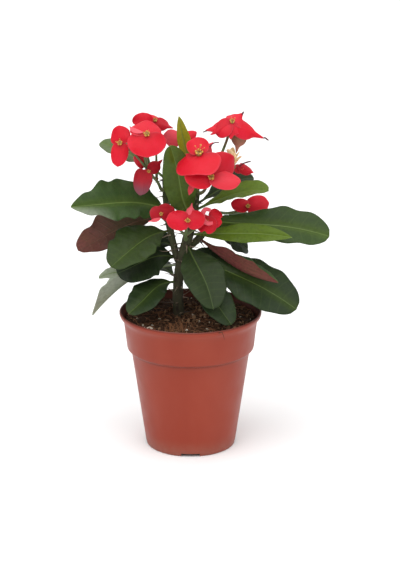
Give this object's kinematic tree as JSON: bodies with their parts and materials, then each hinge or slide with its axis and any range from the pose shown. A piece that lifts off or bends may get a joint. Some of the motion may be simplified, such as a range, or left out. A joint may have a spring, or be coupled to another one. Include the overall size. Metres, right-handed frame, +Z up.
{
  "type": "potted euphorbia",
  "caption": "Crown-of-thorns plant with a spiny branched stem, broad green leaves and round red bracts, rooted in soil in a tapered round plastic nursery pot.",
  "frame": {"origin": "middle of the pot's flat underside, on the surface that it stands on", "axes": "+Z up along the pot's axis, -Y towards the plant's front, +X to the right as seen from the front"},
  "size_m": [0.2135, 0.1343, 0.2877],
  "materials": {
    "terracotta_plastic": "satin moulded plastic",
    "peat_soil": "rough moist peat and coir",
    "bark": "rough, spiny, green-brown",
    "green_leaf": "satin, veined",
    "maroon_leaf": "matte leaf underside",
    "pale_leaf": "matte, pale grey-green",
    "young_leaf": "satin, olive",
    "red_bract": "soft satin",
    "flower_stalk": "satin, smooth",
    "cream_bud": "soft satin"
  },
  "bodies": {
    "root": {"flower_left_back": "red_bract", "flower_left_front": "red_bract", "flower_left_hanging": "red_bract", "flower_left_outer": "red_bract", "flower_left_top": "red_bract", "flower_low_front": "red_bract", "flower_low_left": "red_bract", "flower_low_right": "red_bract", "flower_middle_back": "red_bract", "flower_middle_lower": "red_bract", "flower_middle_upper": "red_bract", "flower_right_behind": "red_bract", "flower_right_small": "red_bract", "flower_right_top": "red_bract", "flower_stalk_behind": "flower_stalk", "flower_stalk_left": "flower_stalk", "flower_stalk_low": "flower_stalk", "flower_stalk_middle": "flower_stalk", "flower_stalk_right": "flower_stalk", "leaf_back_dark": "green_leaf", "leaf_back_high": "green_leaf", "leaf_back_left_high": "green_leaf", "leaf_back_left_low": "green_leaf", "leaf_back_low": "green_leaf", "leaf_back_mid": "green_leaf", "leaf_back_pale": "pale_leaf", "leaf_back_right_high": "green_leaf", "leaf_back_right_low": "green_leaf", "leaf_front": "green_leaf", "leaf_front_low": "green_leaf", "leaf_left_broad": "green_leaf", "leaf_left_dark": "green_leaf", "leaf_left_folded": "pale_leaf", "leaf_left_long": "green_leaf", "leaf_left_low": "green_leaf", "leaf_left_maroon": "maroon_leaf", "leaf_middle_left": "green_leaf", "leaf_middle_right": "green_leaf", "leaf_right_bright": "green_leaf", "leaf_right_high": "green_leaf", "leaf_right_long": "green_leaf", "leaf_right_low": "green_leaf", "leaf_right_maroon": "maroon_leaf", "leaf_right_shade": "green_leaf", "leaf_upright": "young_leaf", "leaf_young": "young_leaf", "pot": "terracotta_plastic", "soil": "peat_soil", "stem": "bark", "young_flower_cream": "cream_bud"}
  },
  "joints": []
}
